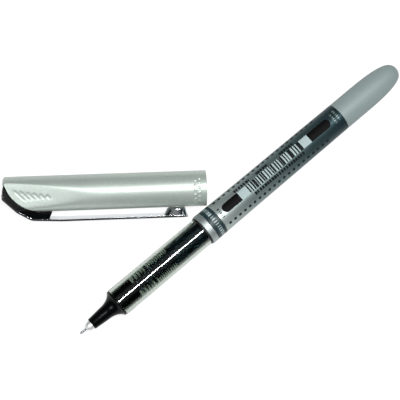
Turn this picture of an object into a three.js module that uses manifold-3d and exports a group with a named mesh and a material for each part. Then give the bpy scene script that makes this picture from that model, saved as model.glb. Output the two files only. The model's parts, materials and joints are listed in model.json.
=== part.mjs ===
// A needle-point rollerball pen, lying uncapped with its cap beside it.
//
// Units are millimetres and +Z is up. The cap lies along +X with its mouth towards +X, and the pen
// lies at PEN_YAW to it. The origin is the middle of the bounding box, on the surface that both
// pieces lie on. Every pen part is drawn along its own x, measured from the front of the ball.
// Every cap part is drawn along its own x, measured from the closed end, with the clip at -y.

import * as THREE from "three";
import { mergeVertices } from "three/addons/utils/BufferGeometryUtils.js";
import Module from "manifold-3d";

const wasm = await Module();
wasm.setup();

// ---- Driving dimensions of the pen --------------------------------------------------------------

const PEN_LENGTH = 130; // front of the ball to the end of the tail
const BALL_R = 0.25;
const NEEDLE_R = 0.35;
const FEED_R = 0.18; // the needle's bore
const NEEDLE_END = 9.8;
const CONE_START = 2.4; // the tip cone's front
const SHANK_R = 1.3; // the tip cone's rear, inside the nose cone
const SHANK_END = 11;
const NOSE_START = 4.5;
const WAIST_X = 9.5; // the nose cone's slimmest part
const WAIST_R = 2.25;
const FLANGE_START = 14.1;
const FLANGE_R = 4.52;
const SECTION_START = 14.75; // front of the clear section
const SECTION_END = 48.85;
const RING_START = 49.5;
const BAND_START = 51.65;
const BARREL_START = 55.1;
const TAIL_START = 105.8;
const SECTION_R = 4.66;
const SECTION_BORE_R = 3.75;
const SPIGOT_R = 4.05; // the clear section's rear, inside the seal, the ring, the band and the barrel
const SPIGOT_END = 58.2;
const COLLECTOR_START = 21.8;
const COLLECTOR_END = 48.45;
const COLLECTOR_R = 3.66;
const COLLECTOR_CORE_R = 1.9;
const DRUM_START = 36; // where the collector's comb ends and its plain drum begins
// Runs of discs on the collector, from the front: start, pitch, thickness and count.
const COMB_RUNS = [
  [22.95, 1.33, 0.42, 2],
  [25.4, 0.9, 0.4, 2],
  [27.4, 1, 0.9, 1],
  [28.9, 0.715, 0.3, 10],
];
const ROD_BORE_R = 0.9; // the way for the feed rod
const ROD_R = 0.75;
const ROD_END = 67;
const RING_R = 5.15;
const BAND_R = 5.05;
const BARREL_FRONT_R = 5.02;
// Places along the rear barrel where its taper eases, as x and radius.
const BARREL_TAPER = [
  [68, 4.88],
  [85, 4.78],
];
const BARREL_REAR_R = 4.63;
const TANK_R = 3.9;
const TANK_START = 58.9;
const INK_END = 92;
const TAIL_ROUND_START = 113; // where the tail begins to narrow
const TAIL_SPIGOT_START = 98; // front of the tail's spigot, inside the barrel
const TAIL_BORE_R = 3.1;
const TAIL_BORE_END = 118;
const TAIL_ROOF = 121; // the end wall of the tail's bore
const TAIL_FLAT_R = 1.6; // the flat face at the end of the tail

// ---- Driving dimensions of the cap --------------------------------------------------------------

const CAP_LENGTH = 63.2;
const CAP_R = 5.55;
const CAP_BORE_R = 4.85;
const MOUTH_R = 5.05; // the counterbore that closes over the seal ring
const CHAMBER_R = 3.6; // the narrow part of the cap's bore, which holds the inner cap
const CHAMBER_START = 12;
const CHAMBER_END = 24;
const CHAMBER_SLOPE = 2.4; // length of the cone from the chamber to the bore
const SOCKET_START = 1.6;
const SOCKET_R = 2.6; // the hole in the shell's end that the end block's plug fills
const SHELL_START = 0.5; // the shell's end face; the end block and the clip stand proud of it
const SHELL_ROUND = 1.1; // rounding of the shell's end face
const CUT_CENTRE = [16, 5.5]; // the curved cut across the closed end, a quarter of an ellipse
const CUT_RADII = [15, 11.1];
const CUT_GAP = 0.12; // clearance between the end block and the cut
const BLOCK_FRONT = 0.35;
const BLOCK_REAR = 15.4;
const BLOCK_INSET = 0.1; // the end block lies this far inside the shell's outline
const PLUG_START = 1.8;
const PLUG_END = 11.7;
const FLAT_START_H = 3.2; // half thickness across the two flats, at the closed end
const FLAT_SLOPE = 0.091;
const INNER_CAP_R = 3.5;
const INNER_CAP_BORE_R = 2.98;
const INNER_CAP_WALL = 0.9; // thickness of its end wall
const INNER_CAP_START = 12.3;
const INNER_CAP_END = 26.2;
const CLIP_WIDTH = 4.6;
const CLIP_T = 0.6;
const CLIP_OUTER = 8.5; // cap axis to the clip's outer face
// The clip's first two bends along its outer face and its inner face, and the block's seat for them.
const CLIP_BENDS_OUT = [
  [0.05, -1.05],
  [4.5, -5.35],
];
const CLIP_BENDS_IN = [
  [4.85, -4.85],
  [0.65, -0.8],
];
const BLOCK_SEAT = [
  [0.72, -0.72],
  [4.88, -4.77],
];
const CLIP_TOP = 0.5; // where the clip's strip ends on the end face, across the cap's axis
const CLIP_BEND_X = 9; // where the clip turns to run along the cap
const CLIP_BEND_Y = 8.02;
const CLIP_ROOT_X = 15; // where the arm leaves the end block
const CLIP_CRANK_X = 18.4; // where the arm turns parallel to the cap
const CLIP_END_X = 57.4;
const CLIP_SLIT = 0.15; // half the slit between the clip's fixed part and its arm
const PAD_START = 50.6;
const PAD_FOOT_START = 52.2; // the part of the pad that bears on the shell

// ---- Layout -------------------------------------------------------------------------------------

const PEN_YAW = THREE.MathUtils.degToRad(37.98);
const PEN_TIP = [22.8, -43.75]; // front of the ball, seen from the middle of the cap's closed end

const GAP = 0.06; // clearance between pieces that fit one in another
const JOINT = 0.08; // clearance between pieces that meet end to end
const ROUND = 40; // sides on the large turned parts
const SMALL = 16; // sides on the small and inner ones
const FAR = 20; // how far a cutting slab reaches past the piece that it cuts

// ---- Geometry helpers ---------------------------------------------------------------------------

// A solid of revolution about +X. Each point is [x, radius]. The outline runs along the outside
// towards +x and back along any bore towards -x, and starts and ends on the axis.
function turned(points, sides = ROUND) {
  const profile = points.map(([x, r]) => new THREE.Vector2(r, x));
  return new THREE.LatheGeometry(profile, sides).rotateZ(-Math.PI / 2);
}

// The same for a tube, whose outline closes on itself.
function turnedTube(points, sides = ROUND) {
  return turned([...points, points[0]], sides);
}

// Points on an ellipse centred at [x, y], between two angles in degrees.
function arc(x, y, rx, ry, from, to, steps) {
  return Array.from({ length: steps + 1 }, (_, i) => {
    const angle = THREE.MathUtils.degToRad(from + ((to - from) * i) / steps);
    return [x + rx * Math.cos(angle), y + ry * Math.sin(angle)];
  });
}

// An outline in x and y, given a width along z and centred on z = 0.
function plate(outline, width) {
  const shape = new THREE.Shape(outline.map(([x, y]) => new THREE.Vector2(x, y)));
  const slab = new THREE.ExtrudeGeometry(shape, { depth: width, bevelEnabled: false });
  return slab.translate(0, 0, -width / 2);
}

// A closed geometry as a manifold-3d solid.
function solid(geometry) {
  const bare = geometry.clone();
  bare.deleteAttribute("normal");
  bare.deleteAttribute("uv");
  const merged = mergeVertices(bare, 1e-4);
  const vertProperties = merged.attributes.position.array;
  const triVerts = new Uint32Array(merged.index.array);
  return new wasm.Manifold(new wasm.Mesh({ numProp: 3, vertProperties, triVerts }));
}

// A manifold-3d solid as a geometry again.
function geometryOf(body) {
  const { vertProperties, triVerts } = body.getMesh();
  const geometry = new THREE.BufferGeometry();
  geometry.setAttribute("position", new THREE.BufferAttribute(vertProperties, 3));
  geometry.setIndex(new THREE.BufferAttribute(triVerts, 1));
  geometry.computeVertexNormals();
  return geometry;
}

// ---- Materials ----------------------------------------------------------------------------------

const finish = (color, roughness, metalness = 0, opacity = 1) =>
  new THREE.MeshStandardMaterial({ color, roughness, metalness, opacity, transparent: opacity < 1 });

const carbide = finish(0x6d6f72, 0.2, 1);
const steel = finish(0xc9cccd, 0.25, 1);
const chrome = finish(0xb9bdbf, 0.12, 1);
const satinMetal = finish(0xaeb6b6, 0.3, 0.9);
const blackPlastic = finish(0x0b0c0e, 0.35);
const clearPlastic = finish(0xe8eeec, 0.05, 0, 0.35);
const naturalPlastic = finish(0xdfe3e0, 0.45);
const darkPlastic = finish(0x1f3a3e, 0.4);
const slatePlastic = finish(0x5f6f70, 0.35);
const greyPlastic = finish(0x8b9a9b, 0.4);
const pearlPlastic = finish(0xb7c4bd, 0.3, 0.2);
const rubber = finish(0x101214, 0.7);
const fibre = finish(0x1a1d22, 0.9);
const ink = finish(0x07090c, 0.1);

// ---- Pen: front end -----------------------------------------------------------------------------

function writingBall() {
  return new THREE.SphereGeometry(BALL_R, SMALL, SMALL / 2).translate(BALL_R, 0, 0);
}

// A thin tube whose front is crimped over the ball's widest part.
function needleTube() {
  const seatR = BALL_R + 0.03;
  const seatEnd = 2 * BALL_R + 0.06;
  const lip = [0.12, 0.235];
  return turnedTube(
    [
      lip,
      [0.12, 0.29],
      [0.32, NEEDLE_R],
      [NEEDLE_END, NEEDLE_R],
      [NEEDLE_END, FEED_R],
      [seatEnd + 0.1, FEED_R],
      [seatEnd, seatR],
      [BALL_R, seatR],
    ],
    SMALL,
  );
}

// A bullet shape round the needle, with a shank that fits in the nose cone.
function tipCone() {
  const boreR = NEEDLE_R + GAP;
  const baseX = NOSE_START - 0.1;
  const bullet = arc(baseX, boreR, baseX - CONE_START, 1.08, 168, 90, 7);
  const shank = [
    [baseX, SHANK_R],
    [SHANK_END, SHANK_R],
    [SHANK_END, boreR],
  ];
  return turnedTube([[CONE_START, boreR], ...bullet, ...shank], SMALL);
}

// The black nose flares to a flange. A spigot behind the flange fits in the clear section.
function noseCone() {
  const flareR = 3.18;
  const flare = arc(WAIST_X, WAIST_R + flareR, 4.9, flareR, -90, -19, 9);
  const land = 0.5; // length of the spigot's full width, at its rear
  const neckR = COLLECTOR_R - 0.16;
  const spigotEnd = COLLECTOR_START - JOINT;
  return turnedTube([
    [NOSE_START, SHANK_R + GAP],
    [NOSE_START, 1.7],
    [4.7, 1.86],
    ...flare,
    [FLANGE_START + 0.15, FLANGE_R],
    [SECTION_START - JOINT, FLANGE_R],
    [SECTION_START - JOINT, neckR],
    [spigotEnd - land, neckR],
    [spigotEnd - land, COLLECTOR_R],
    [spigotEnd, COLLECTOR_R],
    [spigotEnd, ROD_BORE_R],
    [SHANK_END + JOINT, ROD_BORE_R],
    [SHANK_END + JOINT, SHANK_R + GAP],
  ]);
}

// The see-through grip section, with a spigot at its rear.
function frontBarrel() {
  const edge = 0.12;
  return turnedTube([
    [SECTION_START, SECTION_BORE_R],
    [SECTION_START, SECTION_R - edge],
    [SECTION_START + edge, SECTION_R],
    [SECTION_END, SECTION_R],
    [SECTION_END, SPIGOT_R],
    [SPIGOT_END, SPIGOT_R],
    [SPIGOT_END, SECTION_BORE_R],
  ]);
}

// ---- Pen: ink feed ------------------------------------------------------------------------------

// Discs of one thickness at one pitch, as a comb's outline on the collector's core.
function comb(start, pitch, thickness, count) {
  return Array.from({ length: count }, (_, i) => start + i * pitch).flatMap((x) => [
    [x, COLLECTOR_CORE_R],
    [x, COLLECTOR_R],
    [x + thickness, COLLECTOR_R],
    [x + thickness, COLLECTOR_CORE_R],
  ]);
}

// A comb of thin discs that takes up spare ink. The front discs stand further apart, one thick
// disc divides the comb, and the rear is a plain drum.
function inkCollector() {
  return turnedTube(
    [
      [COLLECTOR_START, ROD_BORE_R],
      [COLLECTOR_START, COLLECTOR_CORE_R],
      ...COMB_RUNS.flatMap((run) => comb(...run)),
      [DRUM_START, COLLECTOR_CORE_R],
      [DRUM_START, COLLECTOR_R],
      [COLLECTOR_END, COLLECTOR_R],
      [COLLECTOR_END, ROD_BORE_R],
    ],
    SMALL,
  );
}

// The fibre rod that carries ink from the tank to the needle.
function feedRod() {
  const front = SHANK_END + 2 * JOINT;
  const outline = [
    [front, 0],
    [front, ROD_R - 0.3],
    [front + 0.5, ROD_R],
    [ROD_END, ROD_R],
    [ROD_END, 0],
  ];
  return turned(outline, SMALL);
}

// The wall between the ink tank and the collector.
function tankBulkhead() {
  const front = COLLECTOR_END + JOINT;
  const rear = TANK_START - JOINT;
  const outline = [
    [front, ROD_BORE_R],
    [front, COLLECTOR_R],
    [rear, COLLECTOR_R],
    [rear, ROD_BORE_R],
  ];
  return turnedTube(outline, SMALL);
}

// The ink, filling the tank round the end of the feed rod and leaving room for air.
function inkCharge() {
  const rodHole = ROD_R + GAP;
  const outline = [
    [ROD_END + JOINT, 0],
    [ROD_END + JOINT, rodHole],
    [TANK_START, rodHole],
    [TANK_START, TANK_R - GAP],
    [INK_END, TANK_R - GAP],
    [INK_END, 0],
  ];
  return turned(outline, SMALL);
}

// A cup that closes the rear of the tank, open towards the tail.
function tankPlug() {
  const front = INK_END + JOINT;
  const floorX = front + 1.8;
  const rear = front + 5;
  const boreR = 3.1;
  const outline = [
    [front, 0],
    [front, TANK_R - GAP],
    [rear, TANK_R - GAP],
    [rear, boreR],
    [floorX, boreR],
    [floorX, 0],
  ];
  return turned(outline, SMALL);
}

// ---- Pen: rings, barrel and tail ----------------------------------------------------------------

// A ring on the clear section's spigot, with its outer edges broken by a bevel.
function collar(start, end, frontR, rearR, bevel) {
  return turnedTube([
    [start, SPIGOT_R + GAP],
    [start, frontR - bevel],
    [start + bevel, frontR],
    [end - bevel, rearR],
    [end, rearR - bevel],
    [end, SPIGOT_R + GAP],
  ]);
}

const sealRing = () => collar(SECTION_END + JOINT, RING_START - JOINT, 4.86, 4.94, 0.08);
const trimRing = () => collar(RING_START, BAND_START - JOINT, RING_R, RING_R, 0.14);
const labelBand = () => collar(BAND_START, BARREL_START - JOINT, BAND_R, BAND_R, 0.05);

// The rear barrel, which is also the ink tank.
function rearBarrel() {
  const rear = TAIL_START - JOINT;
  return turnedTube([
    [BARREL_START, SPIGOT_R + GAP],
    [BARREL_START, BARREL_FRONT_R],
    ...BARREL_TAPER,
    [rear, BARREL_REAR_R],
    [rear, TANK_R],
    [SPIGOT_END + JOINT, TANK_R],
    [SPIGOT_END + JOINT, SPIGOT_R + GAP],
  ]);
}

// The tail's rounded end, blunter than an ellipse: the radius is bodyR (1 - u^2.8)^0.3, where u runs
// from 0 where the tail begins to narrow to 1 at its end.
function tailRound(bodyR, steps) {
  const length = PEN_LENGTH - TAIL_ROUND_START;
  const lastU = 0.989; // where the radius comes down to TAIL_FLAT_R
  return Array.from({ length: steps + 1 }, (_, i) => {
    const u = lastU * Math.sin((i / steps) * (Math.PI / 2));
    return [TAIL_ROUND_START + u * length, bodyR * (1 - u ** 2.8) ** 0.3];
  });
}

// A hollow bullet-shaped moulding, with a spigot in the barrel and a small flat end.
function tailPlug() {
  const spigotR = TANK_R - GAP;
  const bodyR = BARREL_REAR_R - 0.03;
  return turned([
    [TAIL_ROOF, 0],
    [TAIL_ROOF, TAIL_FLAT_R],
    [TAIL_BORE_END, TAIL_BORE_R],
    [TAIL_SPIGOT_START, TAIL_BORE_R],
    [TAIL_SPIGOT_START, spigotR],
    [TAIL_START, spigotR],
    [TAIL_START, bodyR],
    ...tailRound(bodyR, 10),
    [PEN_LENGTH, TAIL_FLAT_R - 0.1],
    [PEN_LENGTH, 0],
  ]);
}

// ---- Cap ----------------------------------------------------------------------------------------

// The shell's side of the curved cut across the closed end. The cut is most of a quarter ellipse,
// from the end face down to the clip side, and a positive shift moves it out into the end block.
function shellSide(shift) {
  const [rx, ry] = CUT_RADII;
  const cut = arc(...CUT_CENTRE, rx + shift, ry + shift, 190, 270, 12);
  const rear = CAP_LENGTH + FAR;
  const outline = [[-shift, FAR], [-shift, cut[0][1]], ...cut, [rear, cut.at(-1)[1]], [rear, FAR]];
  return solid(plate(outline, 2 * FAR));
}

// The space between the cap's two flats, which run out along its length.
function betweenFlats(inset) {
  const from = -FAR;
  const to = CAP_LENGTH + FAR;
  const half = (x) => FLAT_START_H - inset + FLAT_SLOPE * x;
  const outline = [
    [from, -half(from)],
    [to, -half(to)],
    [to, half(to)],
    [from, half(from)],
  ];
  return solid(plate(outline, 2 * FAR).rotateX(Math.PI / 2));
}

// The pearl shell, with the curved cut in its closed end where the end block fits.
function capShell() {
  const centre = [SHELL_START + SHELL_ROUND, CAP_R - SHELL_ROUND];
  const corner = arc(...centre, SHELL_ROUND, SHELL_ROUND, 180, 90, 4);
  const lip = 0.15;
  const mouth = 0.9; // depth of the counterbore
  const step = 0.2; // length of the slope from the counterbore to the bore
  const body = turned([
    [SHELL_START, 0],
    ...corner,
    [CAP_LENGTH - lip, CAP_R],
    [CAP_LENGTH, CAP_R - lip],
    [CAP_LENGTH, MOUTH_R],
    [CAP_LENGTH - mouth, MOUTH_R],
    [CAP_LENGTH - mouth - step, CAP_BORE_R],
    [CHAMBER_END + CHAMBER_SLOPE, CAP_BORE_R],
    [CHAMBER_END, CHAMBER_R],
    [CHAMBER_START, CHAMBER_R],
    [CHAMBER_START, SOCKET_R],
    [SOCKET_START, SOCKET_R],
    [SOCKET_START, 0],
  ]);
  return geometryOf(solid(body).intersect(betweenFlats(0)).intersect(shellSide(0)));
}

// The clip's outer face between its second bend and its crank, as a distance from the cap's axis.
function clipOuterAt(x) {
  const along = (x - CLIP_BEND_X) / (CLIP_CRANK_X - CLIP_BEND_X);
  return THREE.MathUtils.lerp(CLIP_BEND_Y, CLIP_OUTER, along);
}

// The black block in the closed end. A plug fills the shell's socket, the body follows the shell's
// outline on the clip side of the cut, and a fin as wide as the clip carries the clip.
function endBlock() {
  const shoulder = [2, CAP_R - 1.6]; // centre of the rounding of its end face
  const corner = arc(...shoulder, shoulder[0] - BLOCK_FRONT, 1.5, 180, 90, 5);
  const bodyR = CAP_R - BLOCK_INSET;
  const round = turned([[BLOCK_FRONT, 0], ...corner, [BLOCK_REAR, bodyR], [BLOCK_REAR, 0]]);
  const seatY = (x) => -clipOuterAt(x) + CLIP_T + GAP;
  const seatTop = CLIP_T + 2 * GAP;
  const seatEnd = CLIP_ROOT_X - 4 * CLIP_SLIT;
  const seat = [
    [seatTop, CLIP_TOP + GAP],
    ...BLOCK_SEAT,
    [CLIP_BEND_X + 0.1, seatY(CLIP_BEND_X)],
    [seatEnd, seatY(seatEnd)],
    [BLOCK_REAR, -CAP_R],
  ];
  const face = [
    [SHELL_START, FAR],
    [SHELL_START, 3.5],
    [BLOCK_FRONT, 1.6],
    [BLOCK_FRONT, CLIP_TOP + GAP],
  ];
  const below = plate([...face, ...seat, [BLOCK_REAR, FAR]], 2 * FAR);
  const fin = plate([[2, 1], ...seat.slice(1), [8, -2]], CLIP_WIDTH - BLOCK_INSET);
  const plugR = SOCKET_R - GAP;
  const plug = turned([[PLUG_START, 0], [PLUG_START, plugR], [PLUG_END, plugR], [PLUG_END, 0]], SMALL);
  const body = solid(round).intersect(betweenFlats(BLOCK_INSET)).add(solid(fin));
  const outside = body.subtract(shellSide(CUT_GAP));
  return geometryOf(outside.add(solid(plug)).intersect(solid(below)));
}

// The fixed part of the clip: a strip folded over the end block.
function clipBase() {
  const end = CLIP_ROOT_X - CLIP_SLIT;
  const top = CLIP_BENDS_IN[1][0];
  return plate(
    [
      [CLIP_BENDS_OUT[0][0], CLIP_TOP],
      ...CLIP_BENDS_OUT,
      [CLIP_BEND_X, -CLIP_BEND_Y],
      [end, -clipOuterAt(end)],
      [end, -clipOuterAt(end) + CLIP_T],
      [CLIP_BEND_X + 0.1, -CLIP_BEND_Y + CLIP_T],
      ...CLIP_BENDS_IN,
      [top, CLIP_TOP],
    ],
    CLIP_WIDTH,
  );
}

// The springy arm of the clip, with a pressed pad that bears on the shell.
function clipArm() {
  const start = CLIP_ROOT_X + CLIP_SLIT;
  const inner = CLIP_OUTER - CLIP_T;
  const padY = CAP_R + 2 * GAP;
  const bevel = 0.3;
  const padFootEnd = CLIP_END_X - 0.8;
  return plate(
    [
      [start, -clipOuterAt(start)],
      [CLIP_CRANK_X, -CLIP_OUTER],
      [CLIP_END_X - bevel, -CLIP_OUTER],
      [CLIP_END_X, -CLIP_OUTER + bevel],
      [CLIP_END_X - 0.2, -inner + bevel],
      [padFootEnd, -padY],
      [PAD_FOOT_START, -padY],
      [PAD_START, -inner],
      [CLIP_CRANK_X, -inner],
      [start, -clipOuterAt(start) + CLIP_T],
    ],
    CLIP_WIDTH,
  );
}

// A cup that closes round the nose cone so that the ink can't dry.
function innerCap() {
  const lip = 0.2;
  return turned([
    [INNER_CAP_START, 0],
    [INNER_CAP_START, INNER_CAP_R],
    [INNER_CAP_END, INNER_CAP_R],
    [INNER_CAP_END, INNER_CAP_R - lip],
    [INNER_CAP_END - 4 * lip, INNER_CAP_BORE_R],
    [INNER_CAP_START + INNER_CAP_WALL, INNER_CAP_BORE_R],
    [INNER_CAP_START + INNER_CAP_WALL, 0],
  ]);
}

// The soft pad at the bottom of the inner cap that the ball presses on.
function tipSeal() {
  const front = INNER_CAP_START + INNER_CAP_WALL + GAP;
  const rear = front + 0.55;
  const sealR = 1.9;
  const outline = [
    [front, 0],
    [front, sealR],
    [rear - 0.15, sealR],
    [rear, sealR - 0.3],
    [rear, 0],
  ];
  return turned(outline, SMALL);
}

// ---- Assembly -----------------------------------------------------------------------------------

function part(name, geometry, material) {
  const mesh = new THREE.Mesh(geometry, material);
  mesh.name = name;
  return mesh;
}

const pen = new THREE.Group();
pen.add(
  part("writing_ball", writingBall(), carbide),
  part("needle_tube", needleTube(), steel),
  part("tip_cone", tipCone(), steel),
  part("nose_cone", noseCone(), blackPlastic),
  part("front_barrel", frontBarrel(), clearPlastic),
  part("ink_collector", inkCollector(), blackPlastic),
  part("feed_rod", feedRod(), fibre),
  part("tank_bulkhead", tankBulkhead(), blackPlastic),
  part("ink_charge", inkCharge(), ink),
  part("tank_plug", tankPlug(), naturalPlastic),
  part("seal_ring", sealRing(), rubber),
  part("trim_ring", trimRing(), satinMetal),
  part("label_band", labelBand(), darkPlastic),
  part("rear_barrel", rearBarrel(), slatePlastic),
  part("tail_plug", tailPlug(), greyPlastic),
);
pen.position.set(...PEN_TIP, RING_R);
pen.rotation.z = PEN_YAW;

// The cap rolls until the clip's lower edge touches the surface that it lies on.
const clipReach = Math.hypot(CLIP_OUTER, CLIP_WIDTH / 2);
const capRoll = Math.asin(CAP_R / clipReach) - Math.atan2(CLIP_WIDTH / 2, CLIP_OUTER);

const cap = new THREE.Group();
cap.add(
  part("cap_shell", capShell(), pearlPlastic),
  part("end_block", endBlock(), blackPlastic),
  part("clip_base", clipBase(), chrome),
  part("clip_arm", clipArm(), chrome),
  part("inner_cap", innerCap(), naturalPlastic),
  part("tip_seal", tipSeal(), rubber),
);
cap.position.z = CAP_R;
cap.rotation.x = capRoll;

const rollerball = new THREE.Group();
rollerball.add(pen, cap);
const box = new THREE.Box3().setFromObject(rollerball, true);
rollerball.position.set(-(box.min.x + box.max.x) / 2, -(box.min.y + box.max.y) / 2, -box.min.z);

const model = new THREE.Group();
model.add(rollerball);

export default model;
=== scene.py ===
"""A needle-point rollerball pen lying uncapped beside its cap.

Sizes are in millimetres. Pen pieces are drawn along the pen's own x, from the front of the ball,
with z up. Cap pieces are drawn along the cap's own x, from its closed end, with the clip at -y and
the two flats at +z and -z. A Placement puts either set in the row's frame, in metres.
"""

import json
import logging
import math
from dataclasses import dataclass
from enum import Enum
from typing import Any, Sequence

import bpy
import numpy as np
from mathutils import Matrix, Vector


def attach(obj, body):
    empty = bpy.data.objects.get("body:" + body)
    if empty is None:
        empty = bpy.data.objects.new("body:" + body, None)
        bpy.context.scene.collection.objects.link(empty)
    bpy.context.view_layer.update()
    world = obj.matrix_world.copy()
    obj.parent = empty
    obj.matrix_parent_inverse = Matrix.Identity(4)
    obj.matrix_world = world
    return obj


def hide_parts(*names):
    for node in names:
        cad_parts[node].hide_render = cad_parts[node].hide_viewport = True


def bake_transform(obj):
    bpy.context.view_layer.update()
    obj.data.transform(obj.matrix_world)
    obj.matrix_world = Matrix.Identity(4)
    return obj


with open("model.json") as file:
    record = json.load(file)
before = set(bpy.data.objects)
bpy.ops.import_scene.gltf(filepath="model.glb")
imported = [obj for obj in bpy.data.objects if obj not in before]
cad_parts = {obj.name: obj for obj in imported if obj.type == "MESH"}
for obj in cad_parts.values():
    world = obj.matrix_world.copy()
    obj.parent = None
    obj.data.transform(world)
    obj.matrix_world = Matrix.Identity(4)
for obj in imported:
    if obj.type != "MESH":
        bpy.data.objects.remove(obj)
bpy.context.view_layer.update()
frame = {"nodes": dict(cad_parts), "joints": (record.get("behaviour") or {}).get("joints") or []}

log = logging.getLogger("rollerball")

MM = 0.001
ROUND_MAP = "AlongAndRound"
Outline = Sequence[tuple[float, float, float]]
Rectangle = tuple[tuple[float, float], tuple[float, float]]


class Body(str, Enum):
    """The bodies that pieces ride on."""

    PEN = "pen"
    BALL = "ball"
    CAP = "cap"
    CLIP = "clip"


# ---- Places and meshes --------------------------------------------------------------------------


@dataclass(frozen=True)
class Placement:
    """A sub-assembly's own frame: an origin in metres, and its x, y and z directions as rows."""

    origin: np.ndarray
    axes: np.ndarray

    def place(self, points: np.ndarray) -> np.ndarray:
        """Turns points in millimetres in this frame into metres in the row's frame."""
        return self.origin + (points * MM) @ self.axes


def joint(name: str) -> dict[str, Any]:
    """Returns the record's joint of that name."""
    return next(j for j in frame["joints"] if j["name"] == name)


def pen_placement(ball_radius: float) -> Placement:
    """Works out the pen's frame from the ball's joint, whose axis is the pen's y.

    Args:
        ball_radius: distance from the front of the ball to the joint, in millimetres.

    Returns:
        The pen's placement, with x from the ball to the tail.
    """
    roll = joint("ball_roll")
    y = np.array(roll["axis"], float)
    z = np.array([0.0, 0.0, 1.0])
    axes = np.array([np.cross(y, z), y, z])
    return Placement(np.array(roll["pos_m"]) - axes[0] * ball_radius * MM, axes)


def cap_placement(root: tuple[float, float]) -> Placement:
    """Works out the cap's frame from the clip's joint, whose axis is the cap's -z.

    Args:
        root: the joint's x and y in the cap's frame, in millimetres.

    Returns:
        The cap's placement, with x from the closed end to the mouth.
    """
    flex = joint("clip_flex")
    z = -np.array(flex["axis"], float)
    x = np.array([1.0, 0.0, 0.0])
    axes = np.array([x, np.cross(z, x), z])
    offset = np.array([root[0], root[1], 0.0]) * MM
    return Placement(np.array(flex["pos_m"]) - offset @ axes, axes)


def angles(sides: int) -> np.ndarray:
    """Angles round an x axis, from -180 degrees, with 0 at +z and 90 degrees at +y."""
    return np.linspace(-math.pi, math.pi, sides, endpoint=False)


def rounded(outline: Outline, steps: int = 5) -> np.ndarray:
    """Rounds an outline's corners.

    Each corner is replaced by a quadratic curve that starts and ends one radius from it, or less
    where the next point is nearer, and has the corner as its control point.

    Args:
        outline: points as (x, y, corner radius).
        steps: points that replace each rounded corner, less one.

    Returns:
        The rounded outline as rows of x and y.
    """
    points = np.array(outline, float)
    made = [points[:1, :2]]
    t = np.linspace(0, 1, steps + 1)[:, None]
    for before, here, after in zip(points[:-2], points[1:-1], points[2:]):
        corner, radius = here[:2], here[2]
        if radius == 0:
            made.append(corner[None])
            continue
        back, ahead = before[:2] - corner, after[:2] - corner
        reach = min(radius, 0.48 * np.hypot(*back), 0.48 * np.hypot(*ahead))
        start = corner + back / np.hypot(*back) * reach
        end = corner + ahead / np.hypot(*ahead) * reach
        made.append((1 - t) ** 2 * start + 2 * t * (1 - t) * corner + t**2 * end)
    made.append(points[-1:, :2])
    return np.concatenate(made)


def revolved(profile: np.ndarray, sides: int) -> np.ndarray:
    """Turns a profile about the x axis.

    The point at profile row i and angle a is (x_i, r_i sin a, r_i cos a).

    Args:
        profile: rows of x and radius.
        sides: points round each ring.

    Returns:
        Rings of points, shaped (rows, sides, 3).
    """
    a = angles(sides)[None, :]
    x, r = profile[:, :1], profile[:, 1:]
    return np.stack([x + 0 * a, r * np.sin(a), r * np.cos(a)], axis=-1)


class Ends(Enum):
    """How a row of rings is closed."""

    POLES = "poles"
    LOOP = "loop"


def ring_faces(rows: int, sides: int, ends: Ends) -> list[list[int]]:
    """Joins rings of points with quads, and closes them with fans or back to the first ring.

    Quads turn from one ring to the next and then along the ring, which points them outwards when
    the rings run towards +x on the outside and their angle runs from +z to +y.

    Args:
        rows: number of rings.
        sides: points in each ring.
        ends: POLES uses two more vertices, at rows * sides and the next one.

    Returns:
        Faces as lists of vertex numbers.
    """
    last = rows if ends is Ends.LOOP else rows - 1
    i, j = np.meshgrid(np.arange(last), np.arange(sides), indexing="ij")
    i2, j2 = (i + 1) % rows, (j + 1) % sides
    quads = np.stack([i * sides + j, i2 * sides + j, i2 * sides + j2, i * sides + j2], axis=-1)
    faces = quads.reshape(-1, 4).tolist()
    if ends is Ends.POLES:
        k = np.arange(sides)
        k2 = (k + 1) % sides
        first, final = rows * sides, rows * sides + 1
        faces += np.stack([first + 0 * k, k, k2], axis=-1).tolist()
        top = (rows - 1) * sides
        faces += np.stack([final + 0 * k, top + k2, top + k], axis=-1).tolist()
    return faces


def mesh_piece(
    name: str, points: np.ndarray, faces: list[list[int]], sharp: float
) -> bpy.types.Object:
    """Puts points in metres and their faces into a smooth-shaded object at the origin.

    Args:
        name: the piece's name.
        points: rows of x, y and z.
        faces: lists of vertex numbers.
        sharp: edges that turn more than this, in degrees, stay sharp.

    Returns:
        The new object, linked to the scene.
    """
    mesh = bpy.data.meshes.new(name)
    mesh.from_pydata(points.tolist(), [], faces)
    mesh.validate()
    mesh.shade_smooth()
    mesh.set_sharp_from_angle(angle=math.radians(sharp))
    piece = bpy.data.objects.new(name, mesh)
    bpy.context.scene.collection.objects.link(piece)
    return piece


def loft(
    name: str, rings: np.ndarray, where: Placement, ends: Ends = Ends.POLES, sharp: float = 35
) -> bpy.types.Object:
    """Makes a closed piece from rings of points in millimetres.

    Args:
        name: the piece's name.
        rings: points shaped (rows, sides, 3), in the sub-assembly's frame.
        where: the sub-assembly's placement.
        ends: how the first and last rings are closed. A pole is the middle of its ring.
        sharp: edges that turn more than this, in degrees, stay sharp.

    Returns:
        The new object, with a UV map in millimetres: x along the axis, and the way round it.
    """
    rows, sides, _ = rings.shape
    points = rings.reshape(-1, 3)
    if ends is Ends.POLES:
        points = np.concatenate([points, rings[0].mean(0)[None], rings[-1].mean(0)[None]])
    piece = mesh_piece(name, where.place(points), ring_faces(rows, sides, ends), sharp)
    map_round_axis(piece, points)
    return piece


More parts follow.
